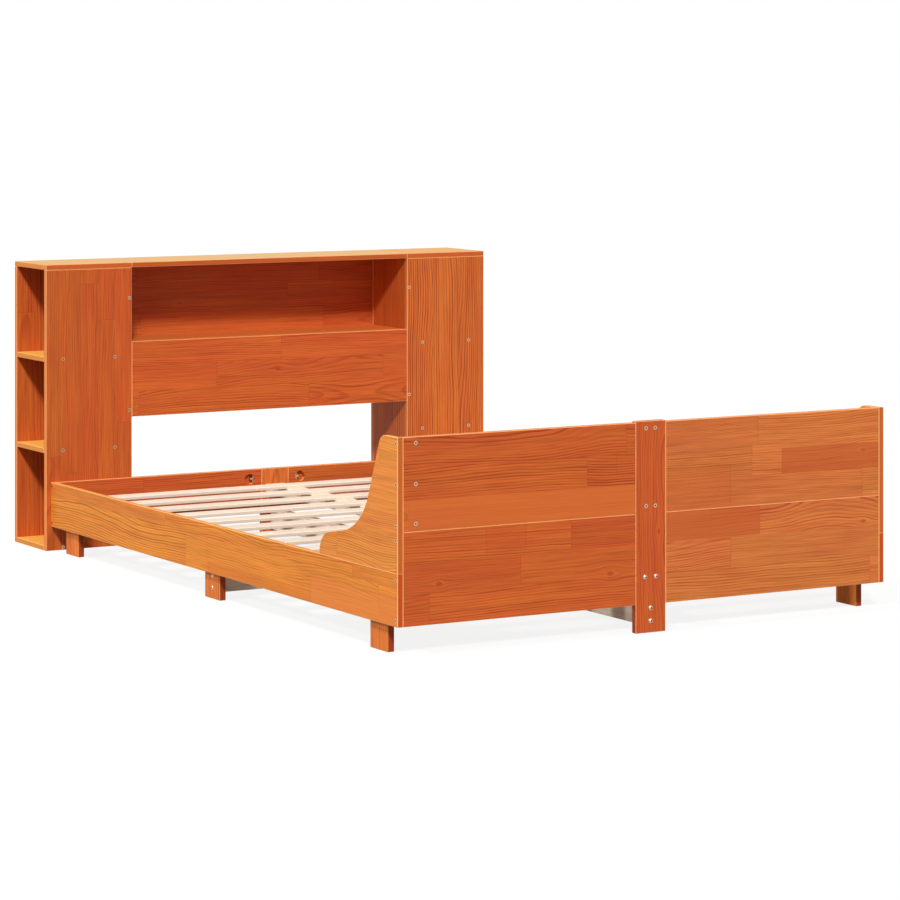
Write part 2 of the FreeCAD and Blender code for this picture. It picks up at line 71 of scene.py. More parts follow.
def add_node(tree: bpy.types.NodeTree, kind: str, inputs: dict[Any, Any] | None = None,
             **settings: Any) -> bpy.types.NodeOutputs:
    """Adds one node, sets its properties, and fills or links its inputs.

    Args:
        tree: Node tree that takes the node.
        kind: Type name of the node.
        inputs: Input names or numbers, each with a value or the output that feeds it.
        **settings: Properties of the node itself.

    Returns:
        The new node's outputs.
    """
    node = tree.nodes.new(kind)
    for name, value in settings.items():
        setattr(node, name, value)
    for key, value in (inputs or {}).items():
        if isinstance(value, bpy.types.NodeSocket):
            tree.links.new(value, node.inputs[key])
        else:
            node.inputs[key].default_value = value
    return node.outputs


def empty_tree(owner: bpy.types.Material | bpy.types.World) -> bpy.types.NodeTree:
    """Switches a material's or world's nodes on and clears them.

    Args:
        owner: The material or world.

    Returns:
        Its node tree, without nodes.
    """
    owner.use_nodes = True
    owner.node_tree.nodes.clear()
    return owner.node_tree


def new_group(name: str, inputs: dict[str, str], outputs: dict[str, str]) -> bpy.types.NodeTree:
    """Makes an empty shader group with its sockets.

    Args:
        name: Name of the group.
        inputs: Input names with "Float" or "Vector".
        outputs: Output names with "Float" or "Vector".

    Returns:
        The group, which still lacks its nodes.
    """
    group = bpy.data.node_groups.new(name, "ShaderNodeTree")
    for direction, sockets in (("INPUT", inputs), ("OUTPUT", outputs)):
        for socket, kind in sockets.items():
            group.interface.new_socket(socket, in_out=direction, socket_type="NodeSocket" + kind)
    return group


@dataclass(frozen=True)
class Knot:
    """A branch knot on a board's face, in millimetres from the board's low corner."""

    along: float
    across: float
    radius: float


@dataclass(frozen=True)
class OddStave:
    """A stave that stands out, by its ends and sides in millimetres from the low corner."""

    along: tuple[float, float]
    across: tuple[float, float]
    tint: str
    share: float


@dataclass(frozen=True)
class Stain:
    """A pine finish and the colours that it gives to the wood's parts and faces.

    A stain has a colour for knots only where a board shows them. Its arris colour is
    partly sanding wear and partly a painted highlight; its edge colour is painted light
    on narrow faces, and painted shade on the legs and slats; its colour for faces that
    point up is a painted top light, set only where a board shows it.
    """

    early: str
    late: str
    # Partly sanding wear, partly a painted highlight on the rounded arrises.
    arris: str
    # Painted light on a board's narrow long faces; on the legs and slats, painted shade.
    edge: str
    end_grain: str
    knot: str = ""
    # Painted top light: a paler colour for faces that point up.
    painted_top_light: str = ""
    finish: str = "stained_pine"


# Painted light: these are the plank stain lit paler and yellower, for the bright side faces of the
# rails and wings.
HONEY_PAINTED_LIGHT = Stain("#E0862D", "#AE5410", "#F0B068", "#E8A050", "#BC5A22")
WING_PAINTED_LIGHT = replace(HONEY_PAINTED_LIGHT, early="#E48C3A", late="#B45A18")
# Painted light and shade: the legs' stain is lit pale orange, and their edges and arrises are
# painted dark as the shade under the bed.
LEG_PAINTED_LIGHT_AND_SHADE = Stain("#E67E2C", "#A04014", "#D07030", "#8A2E10", "#A04414")
RUSSET = Stain("#C75D26", "#92320A", "#F0A064", "#E08C48", "#AC4416", knot="#822C08")
AMBER = Stain("#D3763A", "#9A400E", "#F2A468", "#E8985A", "#B04C1C", knot="#8A3C10")
COPPER = Stain("#CE6C2D", "#943808", "#F2A468", "#E08C48", "#B04C1C")
CHERRY = Stain("#C35B25", "#923408", "#F0A064", "#E89048", "#AC4416")
# SHADE and BACK have dark arrises: painted shade in the niche's corners, in place of a pale arris.
SHADE = replace(CHERRY, early="#CA602A", late="#A24210", arris="#B85020")
# Painted top light: shelves, tops and the niche floor are paler on faces that point up, and on
# their edges.
SHELF = replace(AMBER, painted_top_light="#F6B250", arris="#F0B060", edge="#DA8A34")
LEDGE = replace(RUSSET, painted_top_light="#D6AA6C", arris="#E89C5C", edge="#DC8C3C", end_grain="#C25A26")
NICHE = replace(RUSSET, painted_top_light="#E87C38")
BACK = replace(RUSSET, early="#C65C28", late="#98360C", arris="#B85020")
RAIL_END = "#BA4212"
# Planed pine: its edge colour paints shade on the slats' and beams' narrow faces; its arris is
# partly wear and partly a painted highlight.
PALE = Stain("#F0E0CC", "#C8A684", "#F4E8D8", "#E6D2BC", "#D0B496", finish="planed_pine")


@dataclass(frozen=True)
class Growth:
    """How the tree grew and how the sawmill cut it, with lengths in millimetres."""

    stave_width: float
    stave_length: float
    ring_spacing: float = 5.0
    ring_wave: float = 6.0
    late_strength: float = 0.75


@dataclass(frozen=True)
class Board:
    """One board or group of boards with its cut and its stain."""

    node: str
    grain: Axis
    across: Axis
    stain: Stain
    growth: Growth
    seed: float
    edge_shading_share: float = 0.6
    top_light_share: float = 0.0
    knots: tuple[Knot, ...] = ()
    odd_staves: tuple[OddStave, ...] = ()


@dataclass(frozen=True)
class Patches:
    """Noise drawn out along the grain: a patch's size in millimetres, and its octaves."""

    length: float
    width: float
    octaves: float


class PineTextures:
    """Shader groups that every pine finish shares: knots, odd staves, and growth rings.

    Lengths are in millimetres. A year's ring runs from 0 to 1, and the traits of a
    stave and of a year spread over the pairs of values given here.
    """

    knot_stretch = 0.55
    knot_bend_reach = 2.6
    knot_falloff = 0.37
    knot_core_share = 0.55
    row_slide = 7.0
    stave_shift = 60.0
    pith_spread = 380.0
    pith_depth = (14.0, 90.0)
    pith_wander = 30.0
    wander_patches = Patches(560.0, math.inf, 1.0)
    wave_patches = Patches(340.0, 90.0, 2.0)
    streak_patches = Patches(420.0, 9.0, 2.0)
    zone_patches = Patches(260.0, 46.0, 1.0)
    # Real fibres are under 0.1 mm wide and would not show: these are about a pixel wide.
    fibre_patches = Patches(95.0, 2.4, 3.0)
    ring_pace = (0.75, 1.35)
    late_wood_start = (0.4, 0.88)
    late_wood_end = (0.9, 1.0)
    year_strength = (0.2, 1.0)
    stave_contrast = (0.4, 1.1)
    glue_line = 0.8
    end_joint_line = 1.6
    stave_blur = 0.4

    def __init__(self) -> None:
        """Builds the groups."""
        self.knot = self._knot_group()
        self.odd_stave = self._odd_stave_group()
        self.growth = self._growth_group()

    def _knot_group(self) -> bpy.types.NodeTree:
        """Builds the group that leads the grain round a knot and marks its disc.

        Returns:
            Group with the bent point and the knot's mark as outputs.
        """
        tree = new_group("pine_knot", {"Point": "Vector", "Centre": "Vector", "Radius": "Float"},
                         {"Point": "Vector", "Mark": "Float"})
        given = add_node(tree, "NodeGroupInput")
        offset = add_node(tree, "ShaderNodeVectorMath", {0: given["Point"], 1: given["Centre"]},
                          operation="SUBTRACT")[0]
        flat = add_node(tree, "ShaderNodeVectorMath", {0: offset, 1: (self.knot_stretch, 1, 0)},
                        operation="MULTIPLY")[0]
        distance = add_node(tree, "ShaderNodeVectorMath", {0: flat}, operation="LENGTH")["Value"]
        reach = add_node(tree, "ShaderNodeMath", {0: given["Radius"], 1: self.knot_bend_reach},
                         operation="MULTIPLY")[0]
        ratio = add_node(tree, "ShaderNodeMath", {0: distance, 1: reach}, operation="DIVIDE")[0]
        square = add_node(tree, "ShaderNodeMath", {0: ratio, 1: 2.0}, operation="POWER")[0]
        fade = add_node(tree, "ShaderNodeMath", {0: self.knot_falloff, 1: square},
                        operation="POWER")[0]
        sideways = add_node(tree, "ShaderNodeVectorMath", {0: offset, 1: (0, 1, 0)},
                            operation="MULTIPLY")[0]
        pull = add_node(tree, "ShaderNodeVectorMath", {0: sideways, "Scale": fade},
                        operation="SCALE")[0]
        bent = add_node(tree, "ShaderNodeVectorMath", {0: given["Point"], 1: pull},
                        operation="SUBTRACT")[0]
        core = add_node(tree, "ShaderNodeMath", {0: given["Radius"], 1: self.knot_core_share},
                        operation="MULTIPLY")[0]
        mark = add_node(tree, "ShaderNodeMapRange",
                        {"Value": distance, "From Min": core, "From Max": given["Radius"],
                         "To Min": 1.0, "To Max": 0.0}, interpolation_type="SMOOTHSTEP")[0]
        add_node(tree, "NodeGroupOutput", {"Point": bent, "Mark": mark})
        return tree

    def _odd_stave_group(self) -> bpy.types.NodeTree:
        """Builds the group that marks one stave of a board and the joint round it.

        Returns:
            Group with the stave's inside and its joint line as outputs.
        """
        tree = new_group("pine_odd_stave", dict.fromkeys(("Point", "Centre", "Half"), "Vector"),
                         {"Inside": "Float", "Line": "Float"})
        given = add_node(tree, "NodeGroupInput")
        offset = add_node(tree, "ShaderNodeVectorMath", {0: given["Point"], 1: given["Centre"]},
                          operation="SUBTRACT")[0]
        away = add_node(tree, "ShaderNodeVectorMath", {0: offset}, operation="ABSOLUTE")[0]
        past = add_node(tree, "ShaderNodeVectorMath", {0: away, 1: given["Half"]},
                        operation="SUBTRACT")[0]
        sides = add_node(tree, "ShaderNodeSeparateXYZ", {0: past})
        edge = add_node(tree, "ShaderNodeMath", {0: sides["X"], 1: sides["Y"]},
                        operation="MAXIMUM")[0]
        inside = add_node(tree, "ShaderNodeMapRange",
                          {"Value": edge, "From Min": self.stave_blur,
                           "From Max": -self.stave_blur})[0]
        distance = add_node(tree, "ShaderNodeMath", {0: edge}, operation="ABSOLUTE")[0]
        line = add_node(tree, "ShaderNodeMapRange",
                        {"Value": distance, "From Max": self.end_joint_line, "To Min": 1.0,
                         "To Max": 0.0})[0]
        add_node(tree, "NodeGroupOutput", {"Inside": inside, "Line": line})
        return tree

    def _grain_noise(self, tree: bpy.types.NodeTree, point: bpy.types.NodeSocket,
                     shift: bpy.types.NodeSocket, patches: Patches,
                     normalize: bool = True) -> bpy.types.NodeSocket:
        """Adds noise that is drawn out along the grain.

        Args:
            tree: Node tree that takes the nodes.
            point: Place on the board.
            shift: Offset that differs from stave to stave.
            patches: Size and octaves of the noise.
            normalize: Whether the noise runs from 0 to 1, and not about 0.

        Returns:
            Value of the noise.
        """
        scale = (1 / patches.length, 1 / patches.width, 1 / patches.width)
        place = add_node(tree, "ShaderNodeVectorMath", {0: point, 1: scale, 2: shift},
                         operation="MULTIPLY_ADD")[0]
        return add_node(tree, "ShaderNodeTexNoise",
                        {"Vector": place, "Scale": 1.0, "Detail": patches.octaves},
                        normalize=normalize)[0]

    def _growth_group(self) -> bpy.types.NodeTree:
        """Builds the group that glues staves together, each cut elsewhere from a tree.

        Returns:
            Group with late wood, fibre, streak, joint, two traits of the stave, and
            zone as outputs.
        """
        sizes = ("Stave Width", "Stave Length", "Ring Spacing", "Ring Wave", "Seed")
        results = ("Late", "Fibre", "Streak", "Joint", "Tone", "Warmth", "Zone")
        tree = new_group("pine_growth",
                         {"Point": "Vector", "Bent": "Vector", **dict.fromkeys(sizes, "Float")},
                         dict.fromkeys(results, "Float"))
        given = add_node(tree, "NodeGroupInput")
        place = add_node(tree, "ShaderNodeSeparateXYZ", {0: given["Point"]})
        bent = add_node(tree, "ShaderNodeSeparateXYZ", {0: given["Bent"]})

        rows = add_node(tree, "ShaderNodeMath", {0: place["Y"], 1: given["Stave Width"]},
                        operation="DIVIDE")[0]
        row = add_node(tree, "ShaderNodeMath", {0: rows}, operation="FLOOR")[0]
        row_key = add_node(tree, "ShaderNodeCombineXYZ", {0: row, 1: given["Seed"]})[0]
        slide = add_node(tree, "ShaderNodeTexWhiteNoise", {"Vector": row_key})["Value"]
        lengths = add_node(tree, "ShaderNodeMath", {0: place["X"], 1: given["Stave Length"]},
                           operation="DIVIDE")[0]
        columns = add_node(tree, "ShaderNodeMath", {0: slide, 1: self.row_slide, 2: lengths},
                           operation="MULTIPLY_ADD")[0]
        column = add_node(tree, "ShaderNodeMath", {0: columns}, operation="FLOOR")[0]
        stave_key = add_node(tree, "ShaderNodeCombineXYZ",
                             {0: row, 1: column, 2: given["Seed"]})[0]
        stave = add_node(tree, "ShaderNodeTexWhiteNoise", {"Vector": stave_key})
        traits = add_node(tree, "ShaderNodeSeparateXYZ", {0: stave["Color"]})
        shift = add_node(tree, "ShaderNodeVectorMath",
                         {0: stave["Color"], "Scale": self.stave_shift}, operation="SCALE")[0]

        row_middle = add_node(tree, "ShaderNodeMath", {0: row, 1: 0.5}, operation="ADD")[0]
        middle = add_node(tree, "ShaderNodeMath", {0: row_middle, 1: given["Stave Width"]},
                          operation="MULTIPLY")[0]
        local = add_node(tree, "ShaderNodeMath", {0: bent["Y"], 1: middle},
                         operation="SUBTRACT")[0]
        pith_side = add_node(tree, "ShaderNodeMapRange",
                             {"Value": traits["X"], "To Min": -self.pith_spread / 2,
                              "To Max": self.pith_spread / 2})[0]
        from_pith = add_node(tree, "ShaderNodeMath", {0: local, 1: pith_side},
                             operation="SUBTRACT")[0]
        wander = self._grain_noise(tree, given["Point"], shift, self.wander_patches, False)
        depth = add_node(tree, "ShaderNodeMapRange",
                         {"Value": stave["Value"], "To Min": self.pith_depth[0],
                          "To Max": self.pith_depth[1]})[0]
        depth = add_node(tree, "ShaderNodeMath", {0: wander, 1: self.pith_wander, 2: depth},
                         operation="MULTIPLY_ADD")[0]
        below = add_node(tree, "ShaderNodeMath", {0: bent["Z"], 1: depth}, operation="ADD")[0]
        arm = add_node(tree, "ShaderNodeCombineXYZ", {1: from_pith, 2: below})[0]
        radius = add_node(tree, "ShaderNodeVectorMath", {0: arm}, operation="LENGTH")["Value"]

        wave = self._grain_noise(tree, given["Bent"], shift, self.wave_patches, False)
        waved = add_node(tree, "ShaderNodeMath", {0: wave, 1: given["Ring Wave"], 2: radius},
                         operation="MULTIPLY_ADD")[0]
        pace = add_node(tree, "ShaderNodeMapRange",
                        {"Value": traits["Z"], "To Min": self.ring_pace[0],
                         "To Max": self.ring_pace[1]})[0]
        spacing = add_node(tree, "ShaderNodeMath", {0: given["Ring Spacing"], 1: pace},
                           operation="MULTIPLY")[0]
        rings = add_node(tree, "ShaderNodeMath", {0: waved, 1: spacing}, operation="DIVIDE")[0]
        phase = add_node(tree, "ShaderNodeMath", {0: rings}, operation="FRACT")[0]
        year = add_node(tree, "ShaderNodeMath", {0: rings}, operation="FLOOR")[0]
        year_key = add_node(tree, "ShaderNodeCombineXYZ", {0: year, 1: row, 2: column})[0]
        weather = add_node(tree, "ShaderNodeTexWhiteNoise", {"Vector": year_key})["Value"]
        darkening = add_node(tree, "ShaderNodeMapRange",
                             {"Value": phase, "From Min": self.late_wood_start[0],
                              "From Max": self.late_wood_start[1]},
                             interpolation_type="SMOOTHSTEP")[0]
        winter = add_node(tree, "ShaderNodeMapRange",
                          {"Value": phase, "From Min": self.late_wood_end[0],
                           "From Max": self.late_wood_end[1], "To Min": 1.0, "To Max": 0.0},
                          interpolation_type="SMOOTHSTEP")[0]
        strength = add_node(tree, "ShaderNodeMapRange",
                            {"Value": weather, "To Min": self.year_strength[0],
                             "To Max": self.year_strength[1]})[0]
        contrast = add_node(tree, "ShaderNodeMapRange",
                            {"Value": traits["Y"], "To Min": self.stave_contrast[0],
                             "To Max": self.stave_contrast[1]})[0]
        late = darkening
        for factor in (winter, strength, contrast):
            late = add_node(tree, "ShaderNodeMath", {0: late, 1: factor}, operation="MULTIPLY")[0]

        fibre, streak, zone = (
            self._grain_noise(tree, given["Bent"], shift, patches)
            for patches in (self.fibre_patches, self.streak_patches, self.zone_patches))

        joints = []
        for turns, size, line in ((rows, given["Stave Width"], self.glue_line),
                                  (columns, given["Stave Length"], self.end_joint_line)):
            part = add_node(tree, "ShaderNodeMath", {0: turns}, operation="FRACT")[0]
            to_middle = add_node(tree, "ShaderNodeMath", {0: part, 1: 0.5},
                                 operation="SUBTRACT")[0]
            away = add_node(tree, "ShaderNodeMath", {0: to_middle}, operation="ABSOLUTE")[0]
            share = add_node(tree, "ShaderNodeMath", {0: 0.5, 1: away}, operation="SUBTRACT")[0]
            gap = add_node(tree, "ShaderNodeMath", {0: share, 1: size}, operation="MULTIPLY")[0]
            joints.append(add_node(tree, "ShaderNodeMapRange",
                                   {"Value": gap, "From Max": line, "To Min": 1.0,
                                    "To Max": 0.0})[0])
        joint = add_node(tree, "ShaderNodeMath", {0: joints[0], 1: joints[1]},
                         operation="MAXIMUM")[0]
        values = (late, fibre, streak, joint, stave["Value"], traits["Z"], zone)
        add_node(tree, "NodeGroupOutput", dict(zip(results, values)))
        return tree


class PineFinish:
    """Edge-glued pine staves, under a satin wax stain or only planed.

    To the eye the stain is warm and even, with darker late-wood lines, staves that
    differ a little in tone, and paler arrises, partly where the sanding took the stain off
    and partly a painted highlight. Faces that point up carry a painted top light, and
    narrow faces a painted light, which is painted shade on the legs and slats.
    The planed pine of the slat base is cream, with faint lines.
    """

    grain_range = (0.45, 0.75)
    grain_share = 0.45
    stave_tone = (0.94, 1.04)
    patch_range = (0.3, 0.7)
    streak_tone = (0.88, 1.08)
    zone_tone = (0.97, 1.03)
    stave_hue = (0.49, 0.496)
    zone_hue = 0.014
    joint_share = 0.35
    knot_share = 0.5
    end_grain_share = 0.9
    facing_range = (0.8, 0.97)
    # The arris mask finds rounded edges; its colour is partly wear and partly a painted highlight.
    arris_range = (0.995, 0.93)
    arris_share = 0.9
    roughness = (0.5, 0.62)
    late_relief = 0.5
    relief_strength = 0.35
    relief_height = 0.0003
    ior = 1.5
    specular_level = 0.22

    def __init__(self, textures: PineTextures) -> None:
        """Keeps the shared groups.

        Args:
            textures: Groups for knots, odd staves and growth.
        """
        self.textures = textures

    def material(self, board: Board) -> bpy.types.Material:
        """Makes the finish of one board.

        Args:
            board: The board's cut, stain and knots.

        Returns:
            The board's own material.
        """
        made = bpy.data.materials.new(f"{board.stain.finish}_{board.node}")
        tree = empty_tree(made)
        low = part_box(board.node)[0] * MM_PER_METRE
        coordinates = add_node(tree, "ShaderNodeTexCoord")
        placed = add_node(tree, "ShaderNodeMapping",
                          {"Vector": coordinates["Object"], "Location": -low,
                           "Scale": (MM_PER_METRE,) * 3})[0]
        parts = add_node(tree, "ShaderNodeSeparateXYZ", {0: placed})
        third = next(axis for axis in Axis if axis not in (board.grain, board.across))
        point = add_node(tree, "ShaderNodeCombineXYZ",
                         {0: parts[board.grain.value], 1: parts[board.across.value],
                          2: parts[third.value]})[0]
        bent, mark = self._knots(tree, board, point)
        growth = board.growth
        wood = add_node(tree, "ShaderNodeGroup",
                        {"Point": point, "Bent": bent, "Stave Width": growth.stave_width,
                         "Stave Length": growth.stave_length,
                         "Ring Spacing": growth.ring_spacing, "Ring Wave": growth.ring_wave,
                         "Seed": board.seed}, node_tree=self.textures.growth)
        colour = self._wood_colour(tree, board, wood, mark)
        colour = self._odd_colour(tree, board, colour, point)
        colour = self._worn_and_painted_light_colour(tree, board, colour, coordinates["Normal"])
        self._surface(tree, colour, wood)
        return made

    def _knots(self, tree: bpy.types.NodeTree, board: Board,
               point: bpy.types.NodeSocket) -> tuple[bpy.types.NodeSocket, Any]:
        """Leads the grain round the board's knots.

        Args:
            tree: The board's node tree.
            board: The board, with its knots.
            point: Place on the board in millimetres.

        Returns:
            The bent place, and the knots' mark or 0.
        """
        mark: Any = 0.0
        for knot in board.knots:
            group = add_node(tree, "ShaderNodeGroup",
                             {"Point": point, "Centre": (knot.along, knot.across, 0),
                              "Radius": knot.radius}, node_tree=self.textures.knot)
            point = group["Point"]
            mark = add_node(tree, "ShaderNodeMath", {0: mark, 1: group["Mark"]},
                            operation="MAXIMUM")[0]
        return point, mark

    def _wood_colour(self, tree: bpy.types.NodeTree, board: Board,
                     wood: bpy.types.NodeOutputs, mark: Any) -> bpy.types.NodeSocket:
        """Colours the wood by ring, fibre, stave, zone, joint and knot.

        Args:
            tree: The board's node tree.
            board: The board, with its stain.
            wood: Outputs of the growth group.
            mark: The knots' mark, or 0.

        Returns:
            Colour of the bare face.
        """
        stain = board.stain
        late = add_node(tree, "ShaderNodeMath", {0: wood["Late"], 1: board.growth.late_strength},
                        operation="MULTIPLY")[0]
        grain = add_node(tree, "ShaderNodeMapRange",
                         {"Value": wood["Fibre"], "From Min": self.grain_range[0],
                          "From Max": self.grain_range[1], "To Max": self.grain_share})[0]
        amount = add_node(tree, "ShaderNodeMath", {0: late, 1: grain}, operation="ADD",
                          use_clamp=True)[0]
        colour = add_node(tree, "ShaderNodeMix",
                          {MIX_FACTOR: amount, MIX_A: linear(stain.early),
                           MIX_B: linear(stain.late)}, data_type="RGBA")[MIX_RESULT]
        value = add_node(tree, "ShaderNodeMapRange",
                         {"Value": wood["Tone"], "To Min": self.stave_tone[0],
                          "To Max": self.stave_tone[1]})[0]
        for trait, (darkest, lightest) in (("Streak", self.streak_tone), ("Zone", self.zone_tone)):
            shade = add_node(tree, "ShaderNodeMapRange",
                             {"Value": wood[trait], "From Min": self.patch_range[0],
                              "From Max": self.patch_range[1], "To Min": darkest,
                              "To Max": lightest})[0]
            value = add_node(tree, "ShaderNodeMath", {0: value, 1: shade},
                             operation="MULTIPLY")[0]
        hue = add_node(tree, "ShaderNodeMapRange",
                       {"Value": wood["Warmth"], "To Min": self.stave_hue[0],
                        "To Max": self.stave_hue[1]})[0]
        hue = add_node(tree, "ShaderNodeMath", {0: wood["Zone"], 1: self.zone_hue, 2: hue},
                       operation="MULTIPLY_ADD")[0]
        colour = add_node(tree, "ShaderNodeHueSaturation",
                          {"Hue": hue, "Value": value, "Color": colour})[0]
        layers = [(wood["Joint"], self.joint_share, stain.late)]
        if board.knots:
            layers.append((mark, self.knot_share, stain.knot))
        return self._layered(tree, colour, layers)

    def _odd_colour(self, tree: bpy.types.NodeTree, board: Board, colour: bpy.types.NodeSocket,
                    point: bpy.types.NodeSocket) -> bpy.types.NodeSocket:
        """Tints the staves that stand out and draws the joint round each.

        Args:
            tree: The board's node tree.
            board: The board, with its odd staves.
            colour: Colour of the wood.
            point: Place on the board in millimetres.

        Returns:
            Colour of the wood with its odd staves.
        """
        for stave in board.odd_staves:
            middle = tuple(sum(ends) / 2 for ends in (stave.along, stave.across))
            half = tuple((ends[1] - ends[0]) / 2 for ends in (stave.along, stave.across))
            group = add_node(tree, "ShaderNodeGroup",
                             {"Point": point, "Centre": (*middle, 0), "Half": (*half, 0)},
                             node_tree=self.textures.odd_stave)
            colour = self._layered(tree, colour, [
                (group["Inside"], stave.share, stave.tint),
                (group["Line"], self.joint_share, board.stain.late)])
        return colour

    def _layered(self, tree: bpy.types.NodeTree, colour: bpy.types.NodeSocket,
                 layers: list[tuple[Any, float, str]]) -> bpy.types.NodeSocket:
        """Lays tints over a colour.

        Args:
            tree: The board's node tree.
            colour: Colour underneath.
            layers: For each tint its mask, its share where the mask is 1, and its colour.

        Returns:
            Colour under all the tints.
        """
        for mask, share, tint in layers:
            amount = add_node(tree, "ShaderNodeMath", {0: mask, 1: share},
                              operation="MULTIPLY")[0]
            colour = add_node(tree, "ShaderNodeMix",
                              {MIX_FACTOR: amount, MIX_A: colour, MIX_B: linear(tint)},
                              data_type="RGBA")[MIX_RESULT]
        return colour

    def _worn_and_painted_light_colour(self, tree: bpy.types.NodeTree, board: Board, colour: bpy.types.NodeSocket,
                     normal: bpy.types.NodeSocket) -> bpy.types.NodeSocket:
        """Adds what depends on the way a face points: end grain, a painted top light,
        painted light and shade on narrow faces, and arrises that are partly worn and
        partly a painted highlight.

        Args:
            tree: The board's node tree.
            board: The board, with its stain and its grain.
            colour: Colour of the bare face.
            normal: The surface's normal in the object's own space.

        Returns:
            The finished colour.
        """
        stain = board.stain
        away = add_node(tree, "ShaderNodeVectorMath", {0: normal}, operation="ABSOLUTE")[0]
        facing = add_node(tree, "ShaderNodeSeparateXYZ", {0: away})
        up = add_node(tree, "ShaderNodeSeparateXYZ", {0: normal})["Z"]
        flattest = facing["X"]
        for other in (facing["Y"], facing["Z"]):
            flattest = add_node(tree, "ShaderNodeMath", {0: flattest, 1: other},
                                operation="MAXIMUM")[0]
        # End grain is the wood's own colour; the edge, top and arris tints paint light and shade
        # by facing, and the arris is also wear.
        faces = (
            (facing[board.grain.value], self.facing_range, self.end_grain_share, stain.end_grain),
            (facing[board.across.value], self.facing_range, board.edge_shading_share, stain.edge),
            (up, self.facing_range, board.top_light_share, stain.painted_top_light),
            (flattest, self.arris_range, self.arris_share, stain.arris))
        for turned, (start, end), share, tint in faces:
            if share:
                amount = add_node(tree, "ShaderNodeMapRange",
                                  {"Value": turned, "From Min": start, "From Max": end,
                                   "To Max": share})[0]
                colour = add_node(tree, "ShaderNodeMix",
                                  {MIX_FACTOR: amount, MIX_A: colour, MIX_B: linear(tint)},
                                  data_type="RGBA")[MIX_RESULT]
        return colour

    def _surface(self, tree: bpy.types.NodeTree, colour: bpy.types.NodeSocket,
                 wood: bpy.types.NodeOutputs) -> None:
        """Gives the face its satin and its shallow grain relief.

        Args:
            tree: The board's node tree.
            colour: Finished colour.
            wood: Outputs of the growth group.
        """
        rough = add_node(tree, "ShaderNodeMapRange",
                         {"Value": wood["Fibre"], "To Min": self.roughness[0],
                          "To Max": self.roughness[1]})[0]
        relief = add_node(tree, "ShaderNodeMath",
                          {0: wood["Late"], 1: self.late_relief, 2: wood["Fibre"]},
                          operation="MULTIPLY_ADD")[0]
        bump = add_node(tree, "ShaderNodeBump",
                        {"Height": relief, "Strength": self.relief_strength,
                         "Distance": self.relief_height})[0]
        shader = add_node(tree, "ShaderNodeBsdfPrincipled",
                          {"Base Color": colour, "Roughness": rough, "Normal": bump,
                           "IOR": self.ior, "Specular IOR Level": self.specular_level})[0]
        add_node(tree, "ShaderNodeOutputMaterial", {"Surface": shader})


@dataclass(frozen=True)
class ZincSteel:
    """Zinc-plated steel, passivated to a warm pale grey.

    It gives small bright glints, and painted shade from ambient occlusion darkens its sockets and
    hollows. Sizes are in millimetres.
    """

    bright: str = "#E6C8AC"
    dull: str = "#B89878"
    painted_socket_shade: str = "#2E1C10"
    patch_size: float = 1.5
    patch_octaves: float = 3.0
    socket_size: float = 4.0
    socket_shade_range: tuple[float, float] = (0.5, 0.9)
    socket_shade_share: float = 0.95
    roughness: tuple[float, float] = (0.25, 0.5)

    def material(self) -> bpy.types.Material:
        """Makes the finish that all steel fasteners share.

        Returns:
            The shared material.
        """
        made = bpy.data.materials.new("zinc_steel")
        tree = empty_tree(made)
        place = add_node(tree, "ShaderNodeTexCoord")["Object"]
        patches = add_node(tree, "ShaderNodeTexNoise",
                           {"Vector": place, "Scale": MM_PER_METRE / self.patch_size,
                            "Detail": self.patch_octaves})[0]
        colour = add_node(tree, "ShaderNodeMix",
                          {MIX_FACTOR: patches, MIX_A: linear(self.dull),
                           MIX_B: linear(self.bright)}, data_type="RGBA")[MIX_RESULT]
        # Painted shade: ambient occlusion darkens sockets and hollows to near-black.
        openness = add_node(tree, "ShaderNodeAmbientOcclusion",
                            {"Distance": self.socket_size / MM_PER_METRE})["AO"]
        socket_shade_amount = add_node(tree, "ShaderNodeMapRange",
                         {"Value": openness, "From Min": self.socket_shade_range[0],
                          "From Max": self.socket_shade_range[1], "To Min": self.socket_shade_share,
                          "To Max": 0.0})[0]
        colour = add_node(tree, "ShaderNodeMix",
                          {MIX_FACTOR: socket_shade_amount, MIX_A: colour, MIX_B: linear(self.painted_socket_shade)},
                          data_type="RGBA")[MIX_RESULT]
        rough = add_node(tree, "ShaderNodeMapRange",
                         {"Value": patches, "To Min": self.roughness[0],
                          "To Max": self.roughness[1]})[0]
        shader = add_node(tree, "ShaderNodeBsdfPrincipled",
                          {"Base Color": colour, "Roughness": rough, "Metallic": 1.0})[0]
        add_node(tree, "ShaderNodeOutputMaterial", {"Surface": shader})
        return made


